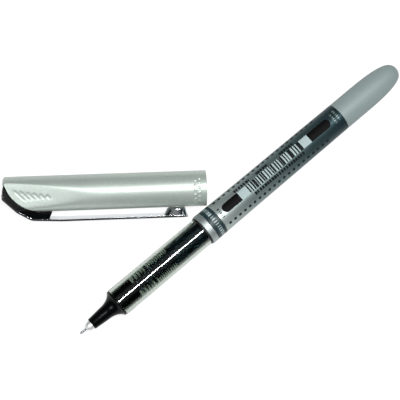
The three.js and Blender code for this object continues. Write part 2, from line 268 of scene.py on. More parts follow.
def map_round_axis(piece: bpy.types.Object, points: np.ndarray) -> None:
    """Gives a piece a UV map: u is x, and v is the distance round the axis from its top.

    v is radius times angle. Corners of the faces that cross the bottom take the angle on their own
    side of it, so that no face spans the whole map.

    Args:
        piece: the object to map.
        points: its vertices in the sub-assembly's frame, in millimetres.
    """
    mesh = piece.data
    corner = np.zeros(len(mesh.loops), np.int32)
    mesh.loops.foreach_get("vertex_index", corner)
    angle = np.arctan2(points[:, 1], points[:, 2])[corner]
    count = np.zeros(len(mesh.polygons), np.int32)
    mesh.polygons.foreach_get("loop_total", count)
    face = np.repeat(np.arange(len(count)), count)
    highest = np.full(len(count), -math.pi)
    np.maximum.at(highest, face, angle)
    angle = np.where(highest[face] - angle > math.pi, angle + 2 * math.pi, angle)
    radius = np.hypot(points[:, 1], points[:, 2])[corner]
    uv = np.stack([points[corner, 0], radius * angle], axis=-1)
    mesh.uv_layers.new(name=ROUND_MAP).data.foreach_set("uv", uv.ravel().astype(np.float32))


# ---- Materials ----------------------------------------------------------------------------------


def linear(colour: str) -> tuple[float, float, float, float]:
    """Turns an sRGB colour into linear light.

    Args:
        colour: a hex colour such as "#8a9b9c".

    Returns:
        Linear red, green, blue and an alpha of 1.
    """
    channels = [int(colour[i : i + 2], 16) / 255 for i in (1, 3, 5)]
    made = [c / 12.92 if c <= 0.04045 else ((c + 0.055) / 1.055) ** 2.4 for c in channels]
    return (made[0], made[1], made[2], 1.0)


def add(
    tree: bpy.types.NodeTree, kind: str, inputs: dict[Any, Any] | None = None, **settings: Any
) -> bpy.types.Node:
    """Adds a node with its settings, and sets or links its inputs.

    Args:
        tree: the node tree to add to.
        kind: the node's type, without "ShaderNode".
        inputs: for each input's name or number, a value, an output to link from, or a node, which
            stands for its first output.
        **settings: the node's own properties.

    Returns:
        The new node.
    """
    node = tree.nodes.new("ShaderNode" + kind)
    for key, value in settings.items():
        setattr(node, key, value)
    for key, value in (inputs or {}).items():
        source = value.outputs[0] if isinstance(value, bpy.types.Node) else value
        if isinstance(source, bpy.types.NodeSocket):
            tree.links.new(source, node.inputs[key])
        else:
            node.inputs[key].default_value = source
    return node


@dataclass(frozen=True)
class Finish:
    """A surface finish. Subclasses add what the real surface shows to the shader.

    Attributes:
        name: the real material and how it was made.
        colour: the surface's sRGB colour.
        roughness: the shader's roughness.
        metallic: 1 for a bare metal.
        specular: how strongly a surface that isn't metal mirrors, where 0.5 is its IOR's own.
    """

    name: str
    colour: str
    roughness: float
    metallic: float = 0.0
    specular: float = 0.5

    def build(self) -> bpy.types.Material:
        """Makes the material and returns it.

        Returns:
            The material.
        """
        material = bpy.data.materials.new(self.name)
        material.use_nodes = True
        tree = material.node_tree
        tree.nodes.clear()
        shader = add(
            tree,
            "BsdfPrincipled",
            {
                "Base Color": linear(self.colour),
                "Roughness": self.roughness,
                "Metallic": self.metallic,
                "Specular IOR Level": self.specular,
            },
        )
        add(tree, "OutputMaterial", {"Surface": shader})
        self.detail(tree, shader)
        return material

    def detail(self, tree: bpy.types.NodeTree, shader: bpy.types.Node) -> None:
        """Adds what makes the surface more than one flat colour.

        Args:
            tree: the material's node tree.
            shader: its shader.
        """


@dataclass(frozen=True)
class Moulded(Finish):
    """Injection-moulded plastic: a faint mottle in colour and gloss, and a fine mould texture.

    Attributes:
        mottle: sRGB colour that the mottle turns towards.
        mottle_size: size of the mottle, in millimetres.
        grain: size of the mould texture, in millimetres.
        depth: height of the mould texture, in millimetres.
    """

    mottle: str = "#000000"
    mottle_size: float = 4.0
    grain: float = 0.25
    depth: float = 0.002

    def detail(self, tree: bpy.types.NodeTree, shader: bpy.types.Node) -> None:
        """Mixes the mottle into the colour and the roughness, and adds the mould texture.

        Args:
            tree: the material's node tree.
            shader: its shader.
        """
        where = add(tree, "TexCoord").outputs["Object"]
        cloud = add(tree, "TexNoise", {"Vector": where, "Scale": 1 / (self.mottle_size * MM), "Detail": 3.0})
        tint = add(
            tree,
            "Mix",
            {0: cloud, 6: linear(self.colour), 7: linear(self.mottle)},
            data_type="RGBA",
        )
        tree.links.new(tint.outputs[2], shader.inputs["Base Color"])
        gloss = add(
            tree,
            "MapRange",
            {"Value": cloud, "To Min": self.roughness * 0.85, "To Max": self.roughness * 1.15},
        )
        tree.links.new(gloss.outputs[0], shader.inputs["Roughness"])
        texture = add(tree, "TexNoise", {"Vector": where, "Scale": 1 / (self.grain * MM), "Detail": 2.0})
        raised = add(tree, "Bump", {"Height": texture, "Distance": self.depth * MM, "Strength": 1.0})
        tree.links.new(raised.outputs[0], shader.inputs["Normal"])


@dataclass(frozen=True)
class Pearl(Moulded):
    """ABS moulded with mica in it: fine flakes that catch the light under a soft gloss.

    Attributes:
        flake: sRGB colour of the flakes.
        flake_size: their spacing, in millimetres, drawn coarser than real ones so that they show.
    """

    flake: str = "#ffffff"
    flake_size: float = 0.22

    def detail(self, tree: bpy.types.NodeTree, shader: bpy.types.Node) -> None:
        """Adds the flakes to the mottled plastic.

        Args:
            tree: the material's node tree.
            shader: its shader.
        """
        super().detail(tree, shader)
        where = add(tree, "TexCoord").outputs["Object"]
        cells = add(tree, "TexVoronoi", {"Vector": where, "Scale": 1 / (self.flake_size * MM)})
        chosen = add(
            tree,
            "MapRange",
            {"Value": cells.outputs["Color"], "From Min": 0.72, "From Max": 0.95, "To Max": 0.22},
        )
        under = shader.inputs["Base Color"].links[0].from_socket
        tint = add(tree, "Mix", {0: chosen, 6: under, 7: linear(self.flake)}, data_type="RGBA")
        tree.links.new(tint.outputs[2], shader.inputs["Base Color"])


@dataclass(frozen=True)
class Backlit(Finish):
    """A white sheet with light behind it: an even glow that washes shadows out.

    Attributes:
        glow: the sheet's own brightness.
    """

    glow: float = 0.85

    def detail(self, tree: bpy.types.NodeTree, shader: bpy.types.Node) -> None:
        """Lights the sheet.

        Args:
            tree: the material's node tree.
            shader: its shader.
        """
        shader.inputs["Emission Color"].default_value = linear("#ffffff")
        shader.inputs["Emission Strength"].default_value = self.glow


@dataclass(frozen=True)
class Comb(Moulded):
    """The collector's moulding: wet black rims and core, and walls painted pale and metallic as painted
    light, standing in for the light that passes between the discs.

    Attributes:
        painted_light_wall: sRGB colour painted on the discs' walls: painted light for the light that passes
            between them.
        wall_roughness: the walls' roughness.
        between: radii in millimetres that the walls lie between.
    """

    # Painted light: the walls' pale colour stands in for light passing between the discs.
    painted_light_wall: str = "#f2f4f0"
    wall_roughness: float = 0.12
    between: tuple[float, float] = (2.45, 3.6)

    def detail(self, tree: bpy.types.NodeTree, shader: bpy.types.Node) -> None:
        """Paints painted light on the walls, picked by the radius stored on the mesh: a pale colour, and a
        metallic shine.

        Args:
            tree: the material's node tree.
            shader: its shader.
        """
        super().detail(tree, shader)
        radius = add(tree, "Attribute", attribute_name="radius").outputs["Fac"]
        low, high = self.between
        limits = {0: radius, 1: (low + high) / 2, 2: (high - low) / 2}
        mask = add(tree, "Math", limits, operation="COMPARE").outputs[0]
        # Painted light: the walls take a pale colour and turn metallic, standing in for light passing
        # between the discs.
        under = shader.inputs["Base Color"].links[0].from_socket
        tint = add(tree, "Mix", {0: mask, 6: under, 7: linear(self.painted_light_wall)}, data_type="RGBA")
        tree.links.new(tint.outputs[2], shader.inputs["Base Color"])
        tree.links.new(mask, shader.inputs["Metallic"])
        gloss = shader.inputs["Roughness"]
        wet = add(tree, "Mix", {0: mask, 2: gloss.links[0].from_socket, 3: self.wall_roughness})
        tree.links.new(wet.outputs[0], gloss)


@dataclass(frozen=True)
class Clear(Finish):
    """Clear moulded polycarbonate: light passes through it and bends, with a faint flow mark.

    Attributes:
        ior: how strongly it bends light.
        flow_size: length of the flow marks, in millimetres.
        flow_depth: their height, in millimetres.
    """

    ior: float = 1.585
    flow_size: float = 6.0
    flow_depth: float = 0.0002

    def detail(self, tree: bpy.types.NodeTree, shader: bpy.types.Node) -> None:
        """Makes the plastic clear and adds the flow marks.

        Args:
            tree: the material's node tree.
            shader: its shader.
        """
        shader.inputs["Transmission Weight"].default_value = 1.0
        shader.inputs["IOR"].default_value = self.ior
        where = add(tree, "TexCoord").outputs["Object"]
        flow = add(tree, "TexNoise", {"Vector": where, "Scale": 1 / (self.flow_size * MM), "Detail": 1.0})
        raised = add(tree, "Bump", {"Height": flow, "Distance": self.flow_depth * MM, "Strength": 1.0})
        tree.links.new(raised.outputs[0], shader.inputs["Normal"])


@dataclass(frozen=True)
class Turned(Finish):
    """Metal turned on a lathe: fine rings round the part's axis.

    Attributes:
        pitch: spacing of the rings, in millimetres, drawn coarser than real ones so that they show.
        depth: their depth, in millimetres.
    """

    pitch: float = 0.12
    depth: float = 0.004

    def detail(self, tree: bpy.types.NodeTree, shader: bpy.types.Node) -> None:
        """Adds the rings as a wave along the mapped axis, broken up by noise in the gloss.

        Args:
            tree: the material's node tree.
            shader: its shader.
        """
        along = add(tree, "SeparateXYZ", {0: add(tree, "UVMap", uv_map=ROUND_MAP)}).outputs[0]
        turns = add(tree, "Math", {0: along, 1: 2 * math.pi / self.pitch}, operation="MULTIPLY")
        wave = add(tree, "Math", {0: turns}, operation="SINE")
        raised = add(tree, "Bump", {"Height": wave, "Distance": self.depth * MM, "Strength": 1.0})
        tree.links.new(raised.outputs[0], shader.inputs["Normal"])
        rub = add(tree, "TexNoise", {"W": along, "Scale": 3.0}, noise_dimensions="1D")
        gloss = add(
            tree,
            "MapRange",
            {"Value": rub, "To Min": self.roughness * 0.7, "To Max": self.roughness * 1.3},
        )
        tree.links.new(gloss.outputs[0], shader.inputs["Roughness"])


@dataclass(frozen=True)
class Plated(Finish):
    """Bright chromium plate on pressed spring steel: a mirror with faint polishing haze."""

    def detail(self, tree: bpy.types.NodeTree, shader: bpy.types.Node) -> None:
        """Varies the gloss with a haze a few millimetres across.

        Args:
            tree: the material's node tree.
            shader: its shader.
        """
        where = add(tree, "TexCoord").outputs["Object"]
        haze = add(tree, "TexNoise", {"Vector": where, "Scale": 1 / (3 * MM), "Detail": 4.0})
        gloss = add(
            tree,
            "MapRange",
            {"Value": haze, "To Min": self.roughness * 0.6, "To Max": self.roughness * 1.6},
        )
        tree.links.new(gloss.outputs[0], shader.inputs["Roughness"])


class Print:
    """Printed marks as masks, 1 on the ink, worked out on the map round a part's axis."""

    def __init__(self, tree: bpy.types.NodeTree) -> None:
        """Reads the map: u along the axis and v round it, both in millimetres."""
        self.tree = tree
        parts = add(tree, "SeparateXYZ", {0: add(tree, "UVMap", uv_map=ROUND_MAP)})
        self.u, self.v = parts.outputs[0], parts.outputs[1]

    def band(self, value: Any, centre: float, half: float) -> bpy.types.Node:
        """Returns 1 where a value is within half of centre."""
        return add(self.tree, "Math", {0: value, 1: centre, 2: half}, operation="COMPARE")

    def join(self, operation: str, masks: Sequence[Any]) -> Any:
        """Joins masks, two at a time.

        Args:
            operation: MULTIPLY keeps what every mask has, and MAXIMUM what any mask has.
            masks: the masks to join.

        Returns:
            The joined mask.
        """
        made = masks[0]
        for mask in masks[1:]:
            made = add(self.tree, "Math", {0: made, 1: mask}, operation=operation)
        return made

    def both(self, *masks: Any) -> Any:
        """Returns 1 where every mask is 1."""
        return self.join("MULTIPLY", masks)

    def either(self, *masks: Any) -> Any:
        """Returns 1 where any mask is 1."""
        return self.join("MAXIMUM", masks)

    def box(self, u: tuple[float, float], v: tuple[float, float]) -> bpy.types.Node:
        """Returns a rectangle between two places along the axis and two round it."""
        along = self.band(self.u, (u[0] + u[1]) / 2, (u[1] - u[0]) / 2)
        return self.both(along, self.band(self.v, (v[0] + v[1]) / 2, (v[1] - v[0]) / 2))

    def disc(self, du: Any, dv: Any, radius: float) -> bpy.types.Node:
        """Returns a round spot, where du squared plus dv squared is less than the radius squared.

        Args:
            du: distance from the spot's middle along the axis.
            dv: distance from it round the axis.
            radius: the spot's radius.

        Returns:
            The spot's mask.
        """
        square = add(self.tree, "Math", {0: du, 1: du}, operation="MULTIPLY")
        both = add(self.tree, "Math", {0: dv, 1: dv, 2: square}, operation="MULTIPLY_ADD")
        return add(self.tree, "Math", {0: both, 1: radius * radius}, operation="LESS_THAN")

    def slug(self, square: float, end: float, centre: float, half: float) -> bpy.types.Node:
        """Makes a bar with one square end and one round end.

        Args:
            square: place of the square end along the axis.
            end: place of the round end.
            centre: the bar's middle, round the axis.
            half: half its width.

        Returns:
            The bar's mask.
        """
        round_at = end + half if end < square else end - half
        u0, u1 = min(square, round_at), max(square, round_at)
        du = add(self.tree, "Math", {0: self.u, 1: round_at}, operation="SUBTRACT")
        dv = add(self.tree, "Math", {0: self.v, 1: centre}, operation="SUBTRACT")
        straight = self.box((u0, u1), (centre - half, centre + half))
        return self.either(straight, self.disc(du, dv, half))

    def dots(
        self, u: tuple[float, float], centre: float, pitch: float, radius: float
    ) -> bpy.types.Node:
        """Makes a row of round dots along the axis, one in the middle of each pitch.

        Args:
            u: where the row starts and ends along the axis.
            centre: the row's place round the axis.
            pitch: the dots' spacing.
            radius: their radius.

        Returns:
            The row's mask.
        """
        place = add(self.tree, "Math", {0: self.u, 1: u[0]}, operation="SUBTRACT")
        step = add(self.tree, "Math", {0: place, 1: pitch}, operation="DIVIDE")
        share = add(self.tree, "Math", {0: step}, operation="FRACT")
        offset = add(self.tree, "Math", {0: share, 1: 0.5}, operation="SUBTRACT")
        du = add(self.tree, "Math", {0: offset, 1: pitch}, operation="MULTIPLY")
        dv = add(self.tree, "Math", {0: self.v, 1: centre}, operation="SUBTRACT")
        row = self.band(self.u, (u[0] + u[1]) / 2, (u[1] - u[0]) / 2)
        return self.both(self.disc(du, dv, radius), row)

    def bars(self, value: Any, pitch: float, least: float, most: float) -> bpy.types.Node:
        """Makes bars across a value, one to each pitch, of widths picked by noise.

        Args:
            value: the place that the bars step along.
            pitch: spacing in millimetres.
            least: width of the thinnest bar, as a share of the pitch.
            most: width of the thickest one.

        Returns:
            The bars' mask.
        """
        step = add(self.tree, "Math", {0: value, 1: pitch}, operation="DIVIDE")
        cell = add(self.tree, "Math", {0: step}, operation="FLOOR")
        pick = add(self.tree, "TexWhiteNoise", {"W": cell}, noise_dimensions="1D")
        width = add(self.tree, "MapRange", {"Value": pick, "To Min": least, "To Max": most})
        share = add(self.tree, "Math", {0: step}, operation="FRACT")
        return add(self.tree, "Math", {0: share, 1: width}, operation="LESS_THAN")

    def paint(self, shader: bpy.types.Node, mask: Any, colour: str) -> None:
        """Mixes a colour of ink over what the shader's base colour already has.

        Args:
            shader: the shader to paint.
            mask: where the ink goes.
            colour: the ink's sRGB colour.
        """
        base = shader.inputs["Base Color"]
        under = base.links[0].from_socket if base.links else tuple(base.default_value)
        made = add(self.tree, "Mix", {0: mask, 6: under, 7: linear(colour)}, data_type="RGBA")
        self.tree.links.new(made.outputs[2], base)


class PrintInk(str, Enum):
    """The colours of the printing."""

    PANEL = "#9eadae"
    BAR = "#12181a"
    SLUG = "#020102"
    DOT = "#0f1a1d"
    DASH = "#0c1416"
    FRONT_TICK = "#1d292b"
    REAR_TICK = "#76837f"
    BAND_DASH = "#9fb0b0"


@dataclass(frozen=True)
class PrintedTank(Moulded):
    """The moulded ink tank, pale at the front and dark at the rear, printed and lacquered.

    Places are in millimetres, along the tank from the ball and round it from its top.

    Attributes:
        stops: (place, sRGB colour) along the tank.
        ink_roughness: roughness of the ink, which dries matt on the lacquer.
        panel: where the pale panel starts and ends.
        window: where the bars on it start and end.
        slug_ends: round ends of the slugs in front of the panel and behind it.
        middle: the panel's middle round the tank.
        half: half its width.
        dot_run: where the rows of dots start and end.
        dot_pitch: spacing of the dots.
        dot_rows: each row's place round the tank, and its dots' radius.
        dash_boxes: rectangles that the short dashes fill, as places along and round the tank.
        front_ticks: the rectangle of small ticks at the front.
        rear_ticks: the two at the rear.
    """

    stops: tuple[tuple[float, str], ...] = ()
    ink_roughness: float = 0.62
    panel: tuple[float, float] = (64.3, 92.9)
    window: tuple[float, float] = (67.2, 89.6)
    slug_ends: tuple[float, float] = (57.4, 101.4)
    middle: float = 0.45
    half: float = 1.52
    dot_run: tuple[float, float] = (56.09, 98.0)
    dot_pitch: float = 2.01
    dot_rows: tuple[tuple[float, float], ...] = ((-4.35, 0.52), (4.95, 0.56))
    dash_boxes: tuple[Rectangle, ...] = (
        ((68.6, 88.8), (-2.6, -1.5)),
        ((63.8, 70.0), (2.3, 3.3)),
        ((72.8, 77.6), (2.3, 3.3)),
        ((82.5, 88.0), (2.3, 3.3)),
    )
    front_ticks: Rectangle = ((56.0, 56.8), (-1.5, 1.9))
    rear_ticks: tuple[Rectangle, ...] = (((102.6, 103.2), (-1.6, 2.2)), ((104.0, 104.7), (-1.2, 2.6)))

    def detail(self, tree: bpy.types.NodeTree, shader: bpy.types.Node) -> None:
        """Shades the tank along its length and prints the panel, the dots and the small marks.

        Args:
            tree: the material's node tree.
            shader: its shader.
        """
        super().detail(tree, shader)
        marks = Print(tree)
        start, end = self.stops[0][0], self.stops[-1][0]
        along = add(tree, "MapRange", {"Value": marks.u, "From Min": start, "From Max": end})
        ramp = add(tree, "ValToRGB", {0: along})
        while len(ramp.color_ramp.elements) < len(self.stops):
            ramp.color_ramp.elements.new(0.5)
        for element, (x, colour) in zip(ramp.color_ramp.elements, self.stops):
            element.position = (x - start) / (end - start)
            element.color = linear(colour)
        tree.links.new(ramp.outputs[0], shader.inputs["Base Color"])
        ink = marks.either(self.print_panel(marks, shader), self.print_rows(marks, shader))
        for socket, inked in (("Metallic", 0.0), ("Roughness", self.ink_roughness)):
            bare = shader.inputs[socket]
            under = bare.links[0].from_socket if bare.links else bare.default_value
            made = add(tree, "Mix", {0: ink, 2: under, 3: inked})
            tree.links.new(made.outputs[0], bare)

    def print_panel(self, marks: Print, shader: bpy.types.Node) -> bpy.types.Node:
        """Prints the panel: a dark slug at each end, a pale panel between, and bars on that.

        Args:
            marks: what makes the masks.
            shader: the shader to paint.

        Returns:
            The mask of all its ink.
        """
        across = (self.middle - self.half, self.middle + self.half)
        pale = marks.box(self.panel, across)
        marks.paint(shader, pale, PrintInk.PANEL)
        window = marks.box(self.window, across)
        thin = marks.bars(marks.u, 0.94, 0.34, 0.62)
        groups = marks.bars(marks.u, 3.7, 0.08, 0.3)
        marks.paint(shader, marks.both(window, marks.either(thin, groups)), PrintInk.BAR)
        ends = zip(self.panel, self.slug_ends)
        slugs = marks.either(*(marks.slug(a, b, self.middle, self.half) for a, b in ends))
        marks.paint(shader, slugs, PrintInk.SLUG)
        return marks.either(pale, slugs)

    def print_rows(self, marks: Print, shader: bpy.types.Node) -> bpy.types.Node:
        """Prints the rows of dots, and rows of short dashes in place of any lettering.

        Args:
            marks: what makes the masks.
            shader: the shader to paint.

        Returns:
            The mask of all their ink.
        """
        rows = (marks.dots(self.dot_run, v, self.dot_pitch, radius) for v, radius in self.dot_rows)
        dots = marks.either(*rows)
        marks.paint(shader, dots, PrintInk.DOT)
        dash = marks.bars(marks.u, 0.98, 0.55, 0.9)
        dashes = marks.both(marks.either(*(marks.box(u, v) for u, v in self.dash_boxes)), dash)
        marks.paint(shader, dashes, PrintInk.DASH)
        tick = marks.bars(marks.v, 0.7, 0.35, 0.8)
        marks.paint(shader, marks.both(marks.box(*self.front_ticks), tick), PrintInk.FRONT_TICK)
        rear = marks.either(*(marks.box(u, v) for u, v in self.rear_ticks))
        marks.paint(shader, marks.both(rear, tick), PrintInk.REAR_TICK)
        return marks.either(dots, dashes)


@dataclass(frozen=True)
class PrintedBand(Moulded):
    """The dark moulded band, printed with a ring of short pale dashes."""

    def detail(self, tree: bpy.types.NodeTree, shader: bpy.types.Node) -> None:
        """Adds the ring of dashes.

        Args:
            tree: the material's node tree.
            shader: its shader.
        """
        super().detail(tree, shader)
        marks = Print(tree)
        ring = marks.band(marks.u, 53.4, 0.6)
        marks.paint(shader, marks.both(ring, marks.bars(marks.v, 0.9, 0.25, 0.7)), PrintInk.BAND_DASH)


# A hard ball polished like a mirror: dark, with one bright point.
CARBIDE = Plated("Polished tungsten carbide", "#55585b", 0.15, 1.0)
# Drawn through a die: a grey sheen with faint marks round it.
DRAWN_STEEL = Turned("Drawn stainless tube", "#8f9395", 0.32, 1.0, pitch=0.1, depth=0.0005)
# Turned and left bare: a pale, soft glow with no sharp reflection.
NICKEL_SILVER = Turned("Turned nickel silver", "#e2e5e4", 0.6, 1.0, depth=0.001)
# Turned and satined: one broad highlight that fades to grey at both edges.
TRIM_METAL = Turned("Turned satin aluminium", "#adb5b5", 0.58, 1.0, pitch=0.15, depth=0.001)
# Plated and polished: it mirrors the white sheet and the dark room in hard-edged bands.
CHROME = Plated("Chromed spring steel", "#d3d6d8", 0.09, 1.0)
# Moulded in a polished tool: near black, with one thin highlight.
BLACK_ABS = Moulded(
    "Black moulded ABS", "#030405", 0.22, specular=0.1, mottle="#060708", depth=0.0002
)
# Moulded and never seen from outside: plain, slightly glossy black.
BLACK_PC = Moulded("Black moulded bulkhead", "#06080a", 0.3, mottle="#0b0e11")
# Moulded and wet with ink: dark blue grey, with the discs' walls painted pale and metallic: painted light
# for the light that passes between the discs.
COMB_ABS = Comb("Black moulded comb", "#31475a", 0.3, mottle="#384e60", depth=0.0)
# Moulded rubber: a dull black line that hides the joint.
BLACK_RUBBER = Moulded("Black moulded seal", "#07090a", 0.55, mottle="#0d1011")
# Moulded clear: a bright line along its top and a pale grey green edge on each side.
CLEAR_PC = Clear("Clear moulded polycarbonate", "#abb5ac", 0.005)
# Moulded with no dye: a milky grey white.
NATURAL_PP = Moulded("Natural moulded polypropylene", "#b9beba", 0.45, mottle="#c6cac7")
# Moulded with a satin texture: an even grey with a soft highlight.
TAIL_PP = Moulded("Satin moulded polypropylene", "#778585", 0.55, mottle="#818e8e", mottle_size=9.0)
# Moulded with mica in it: a soft silver green glow along each ridge.
PEARL_ABS = Pearl(
    "Pearl moulded ABS", "#a6b1aa", 0.4, 0.4, mottle="#aeb9b2", mottle_size=12.0, depth=0.0008
)
# Bonded fibres soaked with ink: matt black.
FIBRE = Moulded("Bonded fibre rod", "#14171b", 0.9, mottle="#20242a", grain=0.1, depth=0.02)
# A liquid: black with a wet gloss.
INK = Moulded("Liquid ink", "#050608", 0.08, mottle="#07090c", depth=0.0)
# Moulded, then printed with pale dashes: a dark blue green band.
BAND_ABS = PrintedBand("Printed moulded band", "#0f262b", 0.5, mottle="#142d32")
# Moulded, shaded and lacquered: a metallic sheen that darkens to the rear, with matt ink on it.
TANK = PrintedTank(
    "Printed and lacquered tank",
    "#66736f",
    0.38,
    0.5,
    0.1,
    mottle="#66736f",
    depth=0.0006,
    stops=((55.1, "#a0aaa7"), (66.0, "#788584"), (80.0, "#5a696a"), (92.0, "#38484a"), (105.7, "#24353a")),
)


# ---- The pen ------------------------------------------------------------------------------------


def finish_piece(
    piece: bpy.types.Object, look: bpy.types.Material, body: Body, slot: str, *nodes: str
) -> None:
    """Dresses a piece, lets it ride on its body, and hides the CAD nodes that it replaces.

    Args:
        piece: the finished object.
        look: its material.
        body: what it rides on.
        slot: the record's material slot; not used.
        *nodes: the CAD nodes that it replaces.
    """
    piece.data.materials.append(look)
    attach(piece, body.value)
    if nodes:
        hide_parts(*nodes)
    log.info("%s rides on %s, %d faces", piece.name, body.value, len(piece.data.polygons))


@dataclass
class WritingPoint:
    """The ball, the needle that holds it and the tip cone behind them."""

    where: Placement
    ball_r: float = 0.25
    needle_r: float = 0.35
    feed_r: float = 0.18
    needle_end: float = 9.8
    cone_start: float = 2.4
    cone_end: float = 4.4
    shank_r: float = 1.3
    shank_end: float = 11.0

    def ball(self) -> bpy.types.Object:
        """Makes the ball: a half circle turned about the axis."""
        t = np.linspace(0.06, math.pi - 0.06, 24)
        profile = np.stack([self.ball_r * (1 - np.cos(t)), self.ball_r * np.sin(t)], axis=-1)
        return loft("ball_polished", revolved(profile, 32), self.where)

    def needle(self) -> bpy.types.Object:
        """Makes the needle tube with its front crimped over the ball.

        Returns:
            The needle.
        """
        seat = self.ball_r + 0.03
        outline = rounded(
            [
                (0.12, 0.235, 0),
                (0.12, 0.29, 0.04),
                (0.34, self.needle_r, 0.08),
                (self.needle_end, self.needle_r, 0.05),
                (self.needle_end, self.feed_r, 0),
                (0.66, self.feed_r, 0),
                (0.56, seat, 0),
                (0.25, seat, 0),
            ]
        )
        return loft("needle_drawn", revolved(outline, 40), self.where, Ends.LOOP)

    def cone(self) -> bpy.types.Object:
        """Makes the tip cone: a quarter ellipse round the needle, then a shank.

        Returns:
            The tip cone.
        """
        bore = self.needle_r + 0.06
        t = np.radians(np.linspace(170, 90, 16))
        length = self.cone_end - self.cone_start
        bullet = np.stack([self.cone_end + length * np.cos(t), bore + 1.08 * np.sin(t)], axis=-1)
        shank = [[self.cone_end, self.shank_r], [self.shank_end, self.shank_r], [self.shank_end, bore]]
        profile = np.concatenate([[[self.cone_start, bore]], bullet, shank])
        return loft("tip_cone_turned", revolved(profile, 64), self.where, Ends.LOOP)

    def build(self) -> None:
        """Makes and dresses the three pieces."""
        finish_piece(self.ball(), CARBIDE.build(), Body.BALL, "carbide", "writing_ball")
        finish_piece(self.needle(), DRAWN_STEEL.build(), Body.PEN, "steel", "needle_tube")
        finish_piece(self.cone(), NICKEL_SILVER.build(), Body.PEN, "tip_metal", "tip_cone")


@dataclass
class GripSection:
    """The black nose cone, the clear section behind it and the ink collector inside."""

    where: Placement
    nose_start: float = 4.5
    nose_r: float = 1.84
    shank_bore_r: float = 1.36
    shank_bore_end: float = 11.08
    waist_x: float = 9.5
    waist_r: float = 2.25
    flare_length: float = 4.9
    flare_r: float = 3.18
    flange_r: float = 4.52
    start: float = 14.75
    end: float = 48.85
    radius: float = 4.66
    bore_r: float = 3.75
    spigot_r: float = 4.05
    spigot_end: float = 58.2
    core_r: float = 1.7
    disc_r: float = 3.66
    rod_r: float = 0.9
    # Where each rib on the nose's spigot starts and ends.
    spigot_ribs: tuple[tuple[float, float], ...] = ((16.9, 17.1), (20.2, 20.4), (21.22, 21.72))
    comb_start: float = 21.8
    drum_start: float = 36.0
    drum_end: float = 48.45
    # Runs of discs, from the front: start, pitch, thickness and count.
    comb_runs: tuple[tuple[float, float, float, int], ...] = (
        (22.95, 1.33, 0.42, 2),
        (25.4, 0.9, 0.4, 2),
        (27.4, 1.0, 0.9, 1),
        (28.9, 0.715, 0.3, 10),
    )

    def nose(self) -> bpy.types.Object:
        """Makes the nose: a slim taper, an elliptical flare to a flange, and a ribbed spigot.

        Returns:
            The nose cone.
        """
        t = np.radians(np.linspace(-90, -20, 20))
        centre_r = self.waist_r + self.flare_r
        flare = np.stack(
            [self.waist_x + self.flare_length * np.cos(t), centre_r + self.flare_r * np.sin(t)], axis=-1
        )
        front = rounded(
            [
                (self.nose_start, self.shank_bore_r, 0),
                (self.nose_start, self.nose_r, 0.14),
                (self.waist_x, self.waist_r, 0),
            ]
        )
        spigot = self.disc_r - 0.16
        back = self.start - 0.08
        ribs = [
            (x, radius, 0.02)
            for begin, stop in self.spigot_ribs
            for x, radius in (
                (begin, spigot), (begin, self.disc_r), (stop, self.disc_r), (stop, spigot)
            )
        ]
        rear = rounded(
            [
                (14.17, 4.44, 0),
                (14.28, self.flange_r, 0.12),
                (back, self.flange_r, 0.05),
                (back, spigot, 0.05),
                *ribs[:-1],
                (self.spigot_ribs[-1][1], self.rod_r, 0),
                (self.shank_bore_end, self.rod_r, 0),
                (self.shank_bore_end, self.shank_bore_r, 0),
            ]
        )
        profile = np.concatenate([front[:-1], flare, rear])
        return loft("nose_cone_moulded", revolved(profile, 128), self.where, Ends.LOOP)

    def sleeve(self) -> bpy.types.Object:
        """Makes the clear section as a tube with a spigot behind it.

        Returns:
            The clear section.
        """
        outline = rounded(
            [
                (self.start, self.bore_r, 0),
                (self.start, self.radius, 0.14),
                (self.end, self.radius, 0.06),
                (self.end, self.spigot_r, 0.04),
                (self.spigot_end, self.spigot_r, 0.05),
                (self.spigot_end, self.bore_r, 0),
                (self.spigot_end - 0.1, self.bore_r, 0),
            ]
        )
        return loft("grip_section_clear", revolved(outline, 160), self.where, Ends.LOOP)

    def disc(self, x: float, thickness: float) -> Outline:
        """Draws one disc of the comb.

        Args:
            x: where the disc starts.
            thickness: its thickness.

        Returns:
            Its outline points, from the core out and back.
        """
        edge = 0.03
        return [
            (x, self.core_r, edge),
            (x, self.disc_r, edge),
            (x + thickness, self.disc_r, edge),
            (x + thickness, self.core_r, edge),
        ]

    def collector(self) -> bpy.types.Object:
        """Makes the collector: runs of discs on a core, and a plain drum behind them.

        Returns:
            The collector.
        """
        discs = [
            point
            for first, pitch, thickness, count in self.comb_runs
            for i in range(count)
            for point in self.disc(first + pitch * i, thickness)
        ]
        outline = rounded(
            [
                (self.comb_start, self.rod_r, 0),
                (self.comb_start, self.core_r, 0.03),
                *discs,
                (self.drum_start, self.core_r, 0.03),
                (self.drum_start, self.disc_r, 0.03),
                (self.drum_end, self.disc_r, 0.05),
                (self.drum_end, self.rod_r, 0),
            ],
            steps=2,
        )
        sides = 96
        piece = loft("ink_collector_moulded", revolved(outline, sides), self.where, Ends.LOOP)
        # Each point's radius picks out the discs' walls, which get painted light.
        radius = piece.data.attributes.new("radius", "FLOAT", "POINT")
        radius.data.foreach_set("value", np.repeat(outline[:, 1], sides).astype(np.float32))
        return piece

    def build(self) -> None:
        """Makes and dresses the three pieces."""
        finish_piece(self.nose(), BLACK_ABS.build(), Body.PEN, "black_plastic", "nose_cone")
        finish_piece(self.sleeve(), CLEAR_PC.build(), Body.PEN, "clear_plastic", "front_barrel")
        finish_piece(self.collector(), COMB_ABS.build(), Body.PEN, "black_plastic", "ink_collector")


